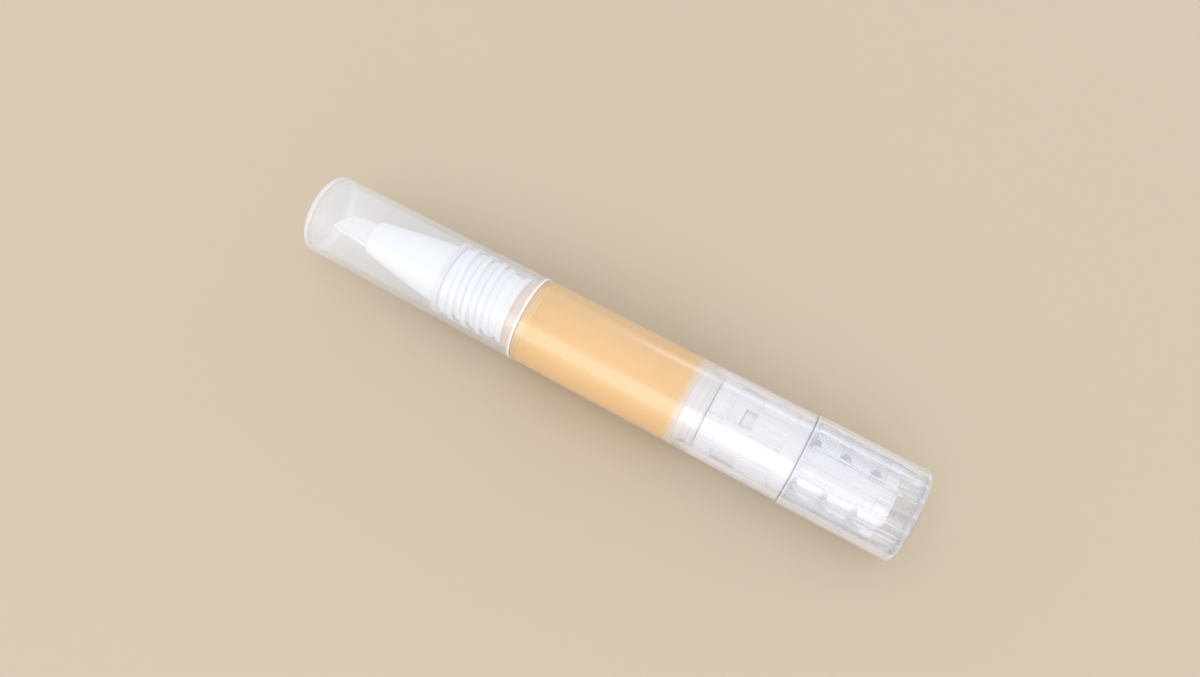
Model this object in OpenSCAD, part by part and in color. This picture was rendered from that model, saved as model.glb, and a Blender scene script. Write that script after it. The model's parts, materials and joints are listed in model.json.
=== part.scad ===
// Twist-up brush pen for nail oil. Each piece is drawn along z, from the knob's end face up to the cap,
// and the whole pen is then laid on its side with the knob towards +x. Lengths are millimetres.

/* [Knob] */
// Outer diameter of the clear turning knob
knob_d = 14.5; // [14.2:0.1:16]
// Length of the knob
knob_l = 18; // [17:0.5:21]
// Side wall of the knob
knob_wall = 1; // [0.8:0.05:1.1]
// End wall of the knob
knob_end = 1; // [0.8:0.05:1.4]
// Rounding of the knob's end edge
knob_edge_r = 0.8; // [0.3:0.05:0.9]
// Rounding of the knob's mouth lip
knob_lip_r = 0.35; // [0.1:0.05:0.4]
// Ribs round the inside of the knob
knob_ribs = 18; // [12:2:20]
// Height of a knob rib
knob_rib_h = 0.75; // [0.5:0.05:0.8]
// Width of a knob rib
knob_rib_w = 0.55; // [0.35:0.05:0.65]
// How far the ribs stop short of the mouth
knob_rib_back = 0.7; // [0.3:0.1:1.5]
// Dark gap between knob and barrel
knob_gap = 0.2; // [0.15:0.05:0.4]

/* [Barrel] */
// Bore that the piston wipes
bore_d = 11.8; // [11.6:0.1:12.4]
// Barrel wall at the knob end
barrel_wall = 1.1; // [0.9:0.05:1.4]
// How much the outer radius shrinks from knob end to shoulder
barrel_draft = 0.225; // [0:0.025:0.3]
// Length from the knob end to the shoulder
barrel_l = 45; // [43:0.5:60]
// Wall of the shoulder that ends the bore
shoulder_wall = 1.2; // [0.8:0.1:2]
// Length of the neck past the shoulder
neck_l = 2.3; // [1.8:0.1:3]
// Wall of the neck
neck_wall = 0.9; // [0.6:0.05:1.1]
// Bevel on the barrel's outer edges
barrel_bevel = 0.15; // [0.05:0.05:0.25]

/* [Cap] */
// Wall of the cap at its mouth
cap_wall = 0.8; // [0.6:0.05:0.9]
// End wall of the cap
cap_end = 0.9; // [0.6:0.1:1.5]
// How much the cap's outer radius shrinks to its end
cap_draft = 0.35; // [0:0.05:0.4]
// Rounding of the cap's closed end
cap_edge_r = 1; // [0.3:0.1:1.2]
// Room between the brush tip and the cap's end wall
brush_room = 1.3; // [0.6:0.1:4]
// Inward step that stops the liner
liner_step = 0.25; // [0.15:0.05:0.35]
// Thickness of the soft liner ring
liner_t = 0.8; // [0.5:0.1:1.2]

/* [Nozzle] */
// Diameter of the collar under its thread
collar_d = 10; // [9.6:0.1:10.2]
// Height of the collar's flange and front bead over the collar
bead_h = 0.45; // [0.3:0.05:0.5]
// Length of the flange on the neck
flange_l = 1; // [0.6:0.1:1.5]
// Length of the collar from the flange to the cone
collar_l = 10.3; // [8:0.1:14]
// Length of the bead at the collar's front
bead_l = 1.2; // [0.8:0.1:2]
// Length of the cone
cone_l = 14.9; // [13:0.1:18]
// Outer diameter of the cone's mouth
mouth_d = 5.5; // [5.3:0.1:6.4]
// Bore that holds the brush
brush_bore_d = 4.8; // [4.4:0.1:4.9]
// Bore of the oil passage behind the brush
passage_d = 6.2; // [5.4:0.1:6.4]
// Length of the brush bore
brush_bore_l = 6.9; // [5:0.1:8]

/* [Brush] */
// How far the long side of the brush stands out of the cone
brush_out = 7.3; // [5:0.1:10]
// Side of the triangle grid that the strands stand on
strand_pitch = 0.3; // [0.28:0.01:0.34]
// Distance over which the strands would run together to a point
converge_l = 22.3; // [18:0.1:40]
// Thickness of the fused slice under the strands
slice_t = 1.5; // [0.8:0.1:2.5]
// How deep the fused slice lies inside the mouth
slice_depth = 0.8; // [0.4:0.1:1.5]
// Slope of the slanted cut, in degrees
cut_angle = 40; // [0:1:50]
// How unevenly the strands are cut
cut_uneven = 0.12; // [0:0.02:0.2]
// Outer diameter of the feed tube
feed_d = 1; // [0.8:0.05:1.1]
// Wall of the feed tube
feed_wall = 0.2; // [0.15:0.01:0.3]
// How far the feed tube stands past the fused slice
feed_out = 2.6; // [1:0.1:3]
// Thickness of the ferrule's flange
ferrule_t = 1.75; // [1.2:0.05:2.5]
// Diameter of a flow hole in the ferrule's flange
flow_d = 0.9; // [0.6:0.1:1]

/* [Twist mechanism] */
// Lead of the rod's coarse thread, and the step from window to window
thread_lead = 4.65; // [4.2:0.05:4.8]
// Diameter of the screw rod
rod_d = 6.6; // [6.2:0.1:6.8]
// Width across the rod's two flats
rod_flats = 4.8; // [4:0.1:5.6]
// Gap from the rod's tail to the knob's end wall
rod_tail = 2.4; // [0.6:0.1:2.6]
// Gap from the sleeve's rear end to the knob's end wall
sleeve_tail = 3.3; // [2:0.1:3.6]
// Gap from the sleeve's rear end to the middle of its first window
window_first = 3.1; // [2.6:0.1:3.4]
// Windows in each row along the sleeve
window_steps = 3; // [2:1:3]
// Rows of windows round the sleeve
window_rows = 4; // [2:1:4]
// Length of a window along the sleeve
window_l = 2; // [1.2:0.1:2.2]
// Width of a window round the sleeve
window_w = 3.7; // [2:0.1:4]
// How far a window's slanted edge leans
window_slant = 1.3; // [0:0.1:1.3]
// Wall of the sleeve's spigot
spigot_wall = 0.53; // [0.45:0.01:0.6]
// Length of the spline band at the sleeve's rear
spline_l = 1.8; // [1:0.1:2]
// Teeth round the ratchet ring, which is the clicks in a turn
tooth_count = 12; // [8:1:16]
// Depth of a ratchet tooth
tooth_h = 0.25; // [0.15:0.01:0.28]
// Thickness of the click ring's hub and arms
arm_t = 0.28; // [0.2:0.01:0.3]
// Length of the click ring
click_l = 2.6; // [1.5:0.1:2.8]

/* [Ratchet housing] */
// Length of the rear flange
rear_flange_l = 2; // [1:0.1:2.4]
// Length of the groove
groove_l = 0.7; // [0.4:0.1:1]
// Length of the ribbed band
ribbed_l = 4.9; // [4.6:0.1:6]
// Length of the windowed waist
waist_l = 4.1; // [3:0.1:5]
// Length of the knurled press band
knurl_l = 2.6; // [2:0.1:4]
// Ribs round the ribbed band
ribbed_count = 36; // [20:1:48]
// Ribs round the knurled band
knurl_count = 48; // [30:1:60]
// Height of the ribs and of the knurls
housing_rib_h = 0.36; // [0.2:0.02:0.4]
// Width of a waist window
waist_window_w = 3.6; // [2:0.1:4]

/* [Piston] */
// Length of the piston
piston_l = 3.1; // [2.9:0.1:6]
// Length of each wiping lip
lip_l = 0.8; // [0.5:0.05:1.2]
// Depth of the piston's waist under its lips
piston_waist = 0.4; // [0.2:0.05:0.8]
// Wall between the rod's socket and the oil
piston_wall = 1.7; // [1.2:0.1:2.5]

/* [Clearances] */
// Gap between pieces that are fixed to each other
seat_gap = 0.05; // [0.02:0.01:0.08]
// Gap round pieces that turn or slide
run_gap = 0.1; // [0.06:0.01:0.12]
// Gap between the piston's lips and the bore
wipe_gap = 0.05; // [0.02:0.01:0.08]
// Gap between the knob's ribs and the sleeve
rib_gap = 0.15; // [0.05:0.01:0.2]
// Gap between the cap's mouth and the shoulder
cap_gap = 0.1; // [0.05:0.01:0.2]
// Gap between the neck and the cap
neck_gap = 0.2; // [0.1:0.05:0.3]
// Gap between the ratchet housing and the piston
piston_gap = 0.2; // [0.1:0.05:0.5]

/* [Hidden] */
$fn = 96;

// How far cuts run past what they cut, and joined pieces run into each other
over = 0.2;
// The smallest bevel that breaks an edge
edge = 0.1;

// Directions round the pen, counted from straight up towards the back, in degrees
rib_angle = 5.6;
sleeve_window_angle = 27.4;
waist_window_angle = 5;
cut_side_angle = 250.9;

// Radii, from the outside in
knob_r = knob_d / 2;
knob_in_r = knob_r - knob_wall;
rib_tip_r = knob_in_r - knob_rib_h;
sleeve_r = rib_tip_r - rib_gap;
bore_r = bore_d / 2;
barrel_r = bore_r + barrel_wall;
shoulder_r = barrel_r - barrel_draft;
cap_bore_r = shoulder_r - cap_wall;
cap_end_r = shoulder_r - cap_draft;
neck_r = cap_bore_r - neck_gap;
neck_bore_r = neck_r - neck_wall;
collar_r = collar_d / 2;
bead_r = collar_r + bead_h;
mouth_r = mouth_d / 2;
brush_bore_r = brush_bore_d / 2;
passage_r = passage_d / 2;
rod_r = rod_d / 2;
sleeve_bore_r = rod_r + run_gap;
spigot_r = sleeve_bore_r + spigot_wall;
click_hub_r = spigot_r + seat_gap + arm_t;
arm_in_r = click_hub_r + tooth_h;
arm_r = arm_in_r + arm_t;
tooth_tip_r = arm_r + seat_gap;
tooth_root_r = tooth_tip_r + tooth_h;
housing_r = bore_r - seat_gap;
housing_body_r = housing_r - housing_rib_h;

// Places along the pen
barrel_z = knob_l + knob_gap;
groove_z = barrel_z + rear_flange_l;
ribbed_z = groove_z + groove_l;
waist_z = ribbed_z + ribbed_l;
knurl_z = waist_z + waist_l;
housing_end_z = knurl_z + knurl_l;
piston_z = housing_end_z + piston_gap;
piston_end_z = piston_z + piston_l;
shoulder_z = barrel_z + barrel_l;
bore_end_z = shoulder_z - shoulder_wall;
neck_end_z = shoulder_z + neck_l;
collar_z = neck_end_z + flange_l;
cone_z = collar_z + collar_l;
mouth_z = cone_z + cone_l;
brush_bore_z = mouth_z - brush_bore_l;
slice_end_z = mouth_z - slice_depth;
slice_z = slice_end_z - slice_t;
tip_z = mouth_z + brush_out;
cap_z = shoulder_z + cap_gap;
liner_z = cone_z + run_gap;
liner_stop_z = liner_z + liner_t + run_gap;
cap_end_z = tip_z + brush_room;
pen_l = cap_end_z + cap_end;
rod_z = knob_end + rod_tail;
rod_end_z = piston_end_z - piston_wall - seat_gap;
sleeve_z = knob_end + sleeve_tail;
sleeve_step_z = knob_l;
click_z = ribbed_z + run_gap;
click_end_z = click_z + click_l;
bearing_z = click_end_z + run_gap;
chamber_z = waist_z - 4 * edge;
snap_z = chamber_z + run_gap;
guide_z = (waist_z + knurl_z) / 2;
spigot_end_z = guide_z - 2 * run_gap;

// Depth of the two flats on the spigot that turn the click ring
key_depth = 0.25;
// Radius of the bead that snaps the sleeve into the housing, and of the chamber it runs in
snap_r = spigot_r + spigot_wall - run_gap / 2;
chamber_r = snap_r + run_gap;
// How the cone's edge bends, as the power of its length share, and its steps
cone_curve_share = 1.3;
cone_steps = 12;
// How much of its grid cell a strand's foot fills
strand_share = 0.74;
// Turn of the sine that makes the strands' lengths uneven, in degrees
strand_turn = 137.5;
// Angles along a click arm, from its tooth to its root and on to its end in the hub, in degrees
arm_start = 1;
arm_step = 4;
arm_root = 61;
arm_sweep = 77;

// A solid cylinder between two heights
module post(r, z0, z1) {
    translate([0, 0, z0]) cylinder(r = r, h = z1 - z0);
}

// A tube between two heights
module tube(r_out, r_in, z0, z1) {
    difference() {
        post(r_out, z0, z1);
        post(r_in, z0 - over, z1 + over);
    }
}

// Puts a piece drawn along z where it lies in the resting pen
module lay() {
    translate([pen_l / 2, 0, knob_r]) rotate([0, -90, 0]) children();
}

// What an arc of radius r takes off the corner of a profile at x, y. The signs say which corner it is.
module corner(x, y, r, sx, sy) {
    translate([x - sx * r, y - sy * r]) difference() {
        translate([sx < 0 ? -r - over : 0, sy < 0 ? -r - over : 0]) square(r + over);
        circle(r = r);
    }
}

// Outline of a ribbed band: count flat-topped ribs of height h round radius r
function ribbed_outline(count, r, h) = [
    for (k = [0 : count - 1])
        for (p = rib_shares) (r + h * p[1]) * [cos((k + p[0]) * 360 / count), sin((k + p[0]) * 360 / count)]
];
// One rib of a band: shares of its pitch, each with its share of the rib's height
rib_shares = [[0, 0], [0.45, 0], [0.6, 1], [0.85, 1]];

// Radius of the ratchet's saw teeth: each starts at its root and closes in to its tip as the angle grows
function saw_r(a) = tooth_root_r - tooth_h * (a * tooth_count / 360);
function saw_outline() = [
    for (k = [0 : tooth_count - 1])
        for (s = saw_shares)
            let (a = s * 360 / tooth_count, b = a + k * 360 / tooth_count) saw_r(a) * [cos(b), sin(b)]
];
// Shares of a tooth's pitch where its slope has a point
saw_shares = [0, 0.25, 0.5, 0.75, 0.98];

// The rod's round section between its two flats, grown by a gap
module rod_section(gap) {
    intersection() {
        circle(r = rod_r + gap);
        square([rod_flats + 2 * gap, 2 * rod_d], center = true);
    }
}

module knob_profile() {
    difference() {
        square([knob_r, knob_l]);
        translate([0, knob_end]) square([knob_in_r, knob_l]);
        corner(knob_r, 0, knob_edge_r, 1, -1);
        corner(knob_r, knob_l, knob_lip_r, 1, 1);
    }
}

module knob_shell() {
    color("#dfe4ec", 0.45) lay() {
        rotate_extrude() knob_profile();
        translate([0, 0, knob_end - over]) linear_extrude(height = knob_l - knob_rib_back - knob_end + over)
            for (k = [0 : knob_ribs - 1]) rotate(rib_angle + k * 360 / knob_ribs)
                translate([rib_tip_r, -knob_rib_w / 2]) square([knob_rib_h + over, knob_rib_w]);
    }
}

// A window through the sleeve: its edge towards the knob's end leans, its other edge is square
module sleeve_window() {
    rotate([0, 90, 0]) linear_extrude(height = sleeve_r + over) polygon([
        [-window_l / 2, -window_w / 2], [window_l / 2, -window_w / 2],
        [window_l / 2 - window_slant, window_w / 2], [-window_l / 2, window_w / 2]
    ]);
}

module sleeve_splines() {
    spline_w = 2 * rib_tip_r * sin(180 / knob_ribs) - knob_rib_w - 2 * rib_gap;
    spline_r = knob_in_r - rib_gap;
    for (k = [0 : 2 : knob_ribs - 1]) rotate(rib_angle + (k + 0.5) * 360 / knob_ribs)
        translate([0, -spline_w / 2, sleeve_z]) cube([spline_r, spline_w, spline_l]);
}

// The click ring's bore: round, with the two flats of the spigot, grown by a gap
module keyed_section(gap) {
    intersection() {
        circle(r = spigot_r + gap);
        square([2 * (spigot_r - key_depth + gap), 2 * spigot_r + over], center = true);
    }
}

// The sleeve's revolved form: the wide rear, the collar behind the click ring, and the spigot with its snap bead
module sleeve_profile() {
    polygon([
        [sleeve_bore_r, sleeve_z], [sleeve_r, sleeve_z], [sleeve_r, sleeve_step_z], [click_hub_r, sleeve_step_z],
        [click_hub_r, click_z - seat_gap], [spigot_r, click_z - seat_gap], [spigot_r, snap_z], [snap_r, snap_z],
        [spigot_r, snap_z + 2 * spigot_wall], [spigot_r, spigot_end_z], [sleeve_bore_r, spigot_end_z]
    ]);
}

// The two flats that turn the click ring
module spigot_flats() {
    for (side = [0, 180]) rotate(side) translate([spigot_r - key_depth, -spigot_r, click_z])
        cube([key_depth + over, 2 * spigot_r, click_l + seat_gap]);
}

module drive_sleeve() {
    color("#f8f9fb") lay() difference() {
        union() {
            rotate_extrude() sleeve_profile();
            difference() {
                sleeve_splines();
                post((sleeve_bore_r + sleeve_r) / 2, sleeve_z - over, sleeve_z + spline_l + over);
            }
        }
        spigot_flats();
        for (row = [0 : window_rows - 1]) rotate(sleeve_window_angle + row * 360 / window_rows)
            for (k = [0 : window_steps - 1])
                translate([0, 0, sleeve_z + window_first + k * thread_lead]) sleeve_window();
    }
}

// A springy arm of the click ring: its tooth rests in a saw tooth, behind the steep face
arm_outline = concat(
    [for (a = [arm_start : arm_step : arm_sweep]) let (s = saw_r(a) - seat_gap) (max(arm_r, s)) * [cos(a), sin(a)]],
    [for (a = [arm_sweep : -arm_step : arm_root]) (click_hub_r - arm_t / 2) * [cos(a), sin(a)]],
    [for (a = [arm_root : -arm_step : arm_start]) arm_in_r * [cos(a), sin(a)]]
);

module click_ring() {
    color("#f4f5f7") lay() translate([0, 0, click_z]) linear_extrude(height = click_l) {
        difference() {
            circle(r = click_hub_r);
            keyed_section(seat_gap);
        }
        for (side = [0, 180]) rotate(side) polygon(arm_outline);
    }
}

module waist_windows() {
    for (row = [0 : 3]) rotate(waist_window_angle + row * 90)
        translate([chamber_r - over, -waist_window_w / 2, waist_z + edge])
            cube([bore_r, waist_window_w, waist_l - 2 * edge]);
}

module ribbed_band(count, z0, z1) {
    translate([0, 0, z0]) linear_extrude(height = z1 - z0)
        polygon(ribbed_outline(count, housing_body_r, housing_rib_h));
}

// The housing's stepped bore: room for the click ring, the bearing round the spigot, and the snap bead's chamber
module housing_bore() {
    rotate_extrude() polygon([
        [0, barrel_z - over], [tooth_root_r + run_gap, barrel_z - over], [tooth_root_r + run_gap, ribbed_z],
        [spigot_r + run_gap, ribbed_z], [spigot_r + run_gap, chamber_z], [chamber_r, chamber_z],
        [chamber_r, guide_z], [0, guide_z]
    ]);
    translate([0, 0, ribbed_z - edge]) linear_extrude(height = bearing_z - ribbed_z + edge) polygon(saw_outline());
    translate([0, 0, guide_z - edge]) linear_extrude(height = housing_end_z - guide_z + over) rod_section(run_gap);
}

module ratchet_housing() {
    color("#fbfbfd") lay() difference() {
        union() {
            post(housing_r, barrel_z, groove_z);
            post(housing_body_r, groove_z, ribbed_z);
            ribbed_band(ribbed_count, ribbed_z, waist_z);
            post(housing_body_r, waist_z, knurl_z);
            ribbed_band(knurl_count, knurl_z, housing_end_z);
        }
        housing_bore();
        waist_windows();
    }
}

module screw_rod() {
    color("#f6f7f9") lay() translate([0, 0, rod_z]) linear_extrude(height = rod_end_z - rod_z) rod_section(0);
}

module piston_profile() {
    lip_r = bore_r - wipe_gap;
    polygon([
        [0, piston_z], [lip_r - lip_l / 2, piston_z], [lip_r, piston_z + lip_l / 2], [lip_r, piston_z + lip_l],
        [lip_r - piston_waist, piston_z + lip_l + piston_waist],
        [lip_r - piston_waist, piston_end_z - lip_l - piston_waist], [lip_r, piston_end_z - lip_l],
        [lip_r, piston_end_z], [lip_r - lip_l / 2, piston_end_z],
        [lip_r - lip_l, piston_end_z - lip_l], [0, piston_end_z - lip_l]
    ]);
}

module piston() {
    color("#eef0f2", 0.9) lay() difference() {
        rotate_extrude() piston_profile();
        post(rod_r + seat_gap, piston_z - over, rod_end_z + seat_gap);
    }
}

module oil_charge() {
    color("#f6c98c", 0.9) lay() post(bore_r - seat_gap, piston_end_z + seat_gap, bore_end_z - seat_gap);
}

module barrel_profile() {
    polygon([
        [bore_r, barrel_z], [barrel_r - barrel_bevel, barrel_z], [barrel_r, barrel_z + barrel_bevel],
        [shoulder_r, shoulder_z - barrel_bevel], [shoulder_r - barrel_bevel, shoulder_z], [neck_r, shoulder_z],
        [neck_r, neck_end_z - barrel_bevel], [neck_r - barrel_bevel, neck_end_z], [neck_bore_r, neck_end_z],
        [neck_bore_r, bore_end_z], [bore_r, bore_end_z]
    ]);
}

module barrel_tube() {
    color("#f3ece6", 0.4) lay() rotate_extrude() barrel_profile();
}

// The cone's outer edge: nearly straight at the collar, then steeper towards the mouth
function cone_point(s) = [collar_r - (collar_r - mouth_r) * pow(s, cone_curve_share), cone_z + s * cone_l];

module nozzle_profile() {
    polygon(concat(
        [[passage_r, bore_end_z], [neck_bore_r - seat_gap, bore_end_z], [neck_bore_r - seat_gap, neck_end_z],
         [bead_r, neck_end_z], [bead_r, collar_z], [collar_r, collar_z + bead_h],
         [collar_r, cone_z - bead_l - bead_h], [bead_r, cone_z - bead_l], [bead_r, cone_z]],
        [for (k = [0 : cone_steps]) cone_point(k / cone_steps)],
        [[brush_bore_r, mouth_z], [brush_bore_r, brush_bore_z], [passage_r, brush_bore_z]]
    ));
}

module nozzle() {
    color("#fdfdfe") lay() rotate_extrude() nozzle_profile();
}

module brush_ferrule() {
    color("#f4f5f7") lay() difference() {
        union() {
            post(passage_r - seat_gap, brush_bore_z - seat_gap - ferrule_t, brush_bore_z - seat_gap);
            post(brush_bore_r - seat_gap, brush_bore_z - seat_gap - over, slice_z - seat_gap);
        }
        post(feed_d / 2 + seat_gap, brush_bore_z - ferrule_t - over, slice_z + over);
        for (k = [0 : 2]) rotate(k * 120) translate([(feed_d + brush_bore_d) / 4, 0, 0])
            post(flow_d / 2, brush_bore_z - ferrule_t - over, slice_z + over);
    }
}

module feed_tube() {
    color("#f0f1f4") lay()
        tube(feed_d / 2, feed_d / 2 - feed_wall, brush_bore_z - ferrule_t, slice_end_z + feed_out);
}

// The strands stand on a grid of triangles. Corner i, j of the grid, and the corners of cell c = [i, j, turned]
function grid_point(i, j) = strand_pitch * [i + j / 2, j * sin(60)];
function cell_corners(c) = c[2] == 0
    ? [grid_point(c[0], c[1]), grid_point(c[0] + 1, c[1]), grid_point(c[0], c[1] + 1)]
    : [grid_point(c[0] + 1, c[1]), grid_point(c[0] + 1, c[1] + 1), grid_point(c[0], c[1] + 1)];
function cell_middle(c) = let (p = cell_corners(c)) (p[0] + p[1] + p[2]) / 3;
function cell_kept(c) = let (r = norm(cell_middle(c)))
    r < brush_bore_r - seat_gap - strand_pitch / sqrt(3) && r > feed_d / 2 + seat_gap + strand_pitch / sqrt(3);
// The cell across each of a cell's three edges
function across(c) = c[2] == 0
    ? [[c[0], c[1] - 1, 1], [c[0], c[1], 1], [c[0] - 1, c[1], 1]]
    : [[c[0] + 1, c[1], 0], [c[0], c[1] + 1, 0], [c[0], c[1], 0]];

// Where the strand line through point q of the slice's face meets the slanted cut, lifted by an uneven length.
// All strands run straight towards one point on the axis, so none of them cross.
function on_cut(q, lift) =
    let (side = q * [cos(cut_side_angle), sin(cut_side_angle)] * tan(cut_angle))
    let (t = (cut_mid_z + lift - slice_end_z + side) / (converge_l + side))
    [q[0] * (1 - t), q[1] * (1 - t), slice_end_z + t * converge_l];
cut_mid_z = tip_z - tan(cut_angle) * brush_bore_r * (1 - (tip_z - slice_end_z) / converge_l) - cut_uneven;

// A cell's points: three corners at the slice's back, the same at its face, the strand's foot and its cut end
function cell_points(c) =
    let (p = cell_corners(c), m = cell_middle(c), q = [for (v = p) m + strand_share * (v - m)])
    let (lift = cut_uneven * sin(strand_turn * (c[0] + 7 * c[1] + 3 * c[2])))
    concat([for (v = p) [v[0], v[1], slice_z]], [for (v = p) [v[0], v[1], slice_end_z]],
           [for (v = q) [v[0], v[1], slice_end_z]], [for (v = q) on_cut(v, lift)]);
function cell_faces(c, n) = concat(
    [[n, n + 1, n + 2], [n + 11, n + 10, n + 9]],
    [for (k = [0 : 2]) let (m = (k + 1) % 3) each [
        [n + 6 + m, n + 3 + m, n + 3 + k], [n + 6 + k, n + 6 + m, n + 3 + k],
        [n + 9 + m, n + 6 + m, n + 6 + k], [n + 9 + k, n + 9 + m, n + 6 + k]]],
    [for (k = [0 : 2]) if (!cell_kept(across(c)[k])) let (m = (k + 1) % 3) each [
        [n + 3 + m, n + m, n + k], [n + 3 + k, n + 3 + m, n + k]]]
);

module bristles() {
    reach = ceil(2 * brush_bore_r / strand_pitch);
    cells = [for (i = [-reach : reach]) for (j = [-reach : reach]) for (u = [0, 1]) if (cell_kept([i, j, u])) [i, j, u]];
    echo(strands = len(cells));
    color("#fefefe") lay() polyhedron(
        points = [for (c = cells) each cell_points(c)],
        faces = [for (k = [0 : len(cells) - 1]) each cell_faces(cells[k], 12 * k)],
        convexity = 10
    );
}

module cap_liner() {
    color("#e6e9ef", 0.6) lay()
        tube(cap_bore_r - run_gap, collar_r + 1.5 * run_gap, liner_z, liner_z + liner_t);
}

module cap_profile() {
    difference() {
        polygon([[0, cap_z], [shoulder_r - edge, cap_z], [shoulder_r, cap_z + edge], [cap_end_r, pen_l], [0, pen_l]]);
        polygon([[0, cap_z - over], [cap_bore_r + over, cap_z - over], [cap_bore_r, cap_z + edge],
                 [cap_bore_r, liner_stop_z], [cap_bore_r - liner_step, liner_stop_z],
                 [cap_end_r - cap_wall, cap_end_z], [0, cap_end_z]]);
        corner(cap_end_r, pen_l, cap_edge_r, 1, 1);
    }
}

module cap_shell() {
    color("#dde3ec", 0.4) lay() rotate_extrude() cap_profile();
}

knob_shell();
drive_sleeve();
click_ring();
ratchet_housing();
screw_rod();
piston();
oil_charge();
barrel_tube();
nozzle();
brush_ferrule();
feed_tube();
bristles();
cap_liner();
cap_shell();
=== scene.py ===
"""Dresses a twist-up nail oil pen: clear knob, milky barrel of oil, brush on a cone, see-through cap."""

import json
import math
from functools import partialmethod

import bmesh
import bpy
from mathutils import Matrix, Vector


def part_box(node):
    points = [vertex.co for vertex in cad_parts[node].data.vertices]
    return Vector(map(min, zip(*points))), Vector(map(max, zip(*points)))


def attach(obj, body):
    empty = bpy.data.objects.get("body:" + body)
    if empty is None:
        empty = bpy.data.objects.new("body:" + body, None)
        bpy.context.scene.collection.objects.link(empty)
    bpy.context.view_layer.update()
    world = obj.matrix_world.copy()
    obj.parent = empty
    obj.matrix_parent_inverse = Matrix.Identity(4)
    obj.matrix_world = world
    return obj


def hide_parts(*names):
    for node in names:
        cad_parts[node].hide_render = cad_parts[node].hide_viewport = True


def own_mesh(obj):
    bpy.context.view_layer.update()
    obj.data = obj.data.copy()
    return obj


bl_info = {
    "name": "Nail oil pen",
    "version": (1, 0, 0),
    "blender": (4, 5, 0),
    "location": "3D View > Sidebar > Oil pen",
    "description": "Makes the visible pieces of a twist-up nail oil pen round its packed CAD parts",
    "category": "Add Mesh",
}

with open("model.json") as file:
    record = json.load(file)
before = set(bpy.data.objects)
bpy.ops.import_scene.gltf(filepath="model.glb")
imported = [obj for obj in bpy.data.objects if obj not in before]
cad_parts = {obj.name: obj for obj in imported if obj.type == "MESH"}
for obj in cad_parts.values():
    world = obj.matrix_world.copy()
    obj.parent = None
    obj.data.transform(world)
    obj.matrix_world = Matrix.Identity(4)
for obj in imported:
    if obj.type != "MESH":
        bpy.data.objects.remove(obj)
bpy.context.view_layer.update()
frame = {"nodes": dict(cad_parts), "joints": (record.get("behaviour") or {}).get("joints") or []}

# The pen lies along X. Places along it are counted from the knob's end face towards the cap,
# and turns round it from straight up towards +Y.
KNOB_LOW, KNOB_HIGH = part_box("knob_shell")
END_X = KNOB_HIGH.x
AXIS_Z = (KNOB_LOW.z + KNOB_HIGH.z) / 2
SIDES = 144
TINY = 1e-7
# Width of the slope on each side of a knob rib
RIB_FLANK = 0.00003


def span(node):
    """Where a CAD node starts and ends along the pen, and its greatest radius."""
    low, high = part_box(node)
    return END_X - high.x, END_X - low.x, (high.z - low.z) / 2


def travel(joint):
    """How far a sliding joint can go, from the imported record."""
    found = [j for j in frame["joints"] if j["name"] == joint]
    return found[0]["range_m"][1]


def even_turns(number):
    """This many turns, spread evenly all the way round."""
    return [math.tau * k / number for k in range(number)]


def at(along, radius, turn):
    """The point at that place along the pen, distance from its axis and turn round it."""
    return Vector((END_X - along, radius * math.sin(turn), AXIS_Z + radius * math.cos(turn)))


def srgb(red, green, blue):
    """A colour given as it looks on a screen, 0 to 255, as Blender's linear red, green and blue."""
    shares = [c / 255 for c in (red, green, blue)]
    return tuple(c / 12.92 if c <= 0.04045 else ((c + 0.055) / 1.055) ** 2.4 for c in shares)


# Sizes and colours that a user can change


def length(label, meaning, size):
    return bpy.props.FloatProperty(
        name=label, description=meaning, default=size, min=0.0, unit="LENGTH", precision=5
    )


def station(label, meaning, size):
    return length(label, meaning + ", from the knob's end", size)


def count(label, meaning, number):
    return bpy.props.IntProperty(name=label, description=meaning, default=number, min=1)


def angle(label, meaning, degrees):
    return bpy.props.FloatProperty(
        name=label, description=meaning, default=math.radians(degrees), subtype="ANGLE"
    )


def colour(label, meaning, *screen):
    return bpy.props.FloatVectorProperty(
        name=label, description=meaning, default=srgb(*screen), min=0.0, max=1.0, subtype="COLOR"
    )


class KnobSizes(bpy.types.PropertyGroup):
    long: length("Length", "Length of the knob", span("knob_shell")[1])
    radius: length("Radius", "Outer radius of the knob", span("knob_shell")[2])
    wall: length("Wall", "Side wall of the knob", 0.001)
    end: length("End wall", "Thickness of the knob's closed end", 0.001)
    edge: length("End edge", "Rounding of the closed end's edge", 0.0008)
    lip: length("Lip", "Rounding of the open end's edge", 0.0002)
    ribs: count("Ribs", "Ribs along the inside of the knob", 18)
    rib_height: length("Rib height", "How far a rib stands in from the wall", 0.00075)
    rib_width: length("Rib width", "Width of a rib", 0.00055)
    rib_back: length("Rib stop", "How far the ribs end short of the mouth", 0.0007)
    first_rib: angle("First rib", "Where the first rib stands, from straight up", 5.6)


class BarrelSizes(bpy.types.PropertyGroup):
    start: station("Start", "Where the barrel starts", span("barrel_tube")[0])
    radius: length("Radius", "Outer radius at the knob", span("barrel_tube")[2])
    long: length("Length", "Length up to the shoulder", 0.045)
    shoulder: length("Shoulder radius", "Outer radius at the shoulder", 0.006775)
    bore: length("Bore", "Radius of the oil space", 0.0059)
    floor: length("Bore's end", "How far the shoulder wall lies behind the shoulder", 0.0012)
    neck: length("Neck radius", "Outer radius of the neck", 0.005775)
    neck_bore: length("Neck bore", "Radius of the neck's bore", 0.004875)
    bevel: length("Bevel", "Rounding of the outer edges", 0.00015)


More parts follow.
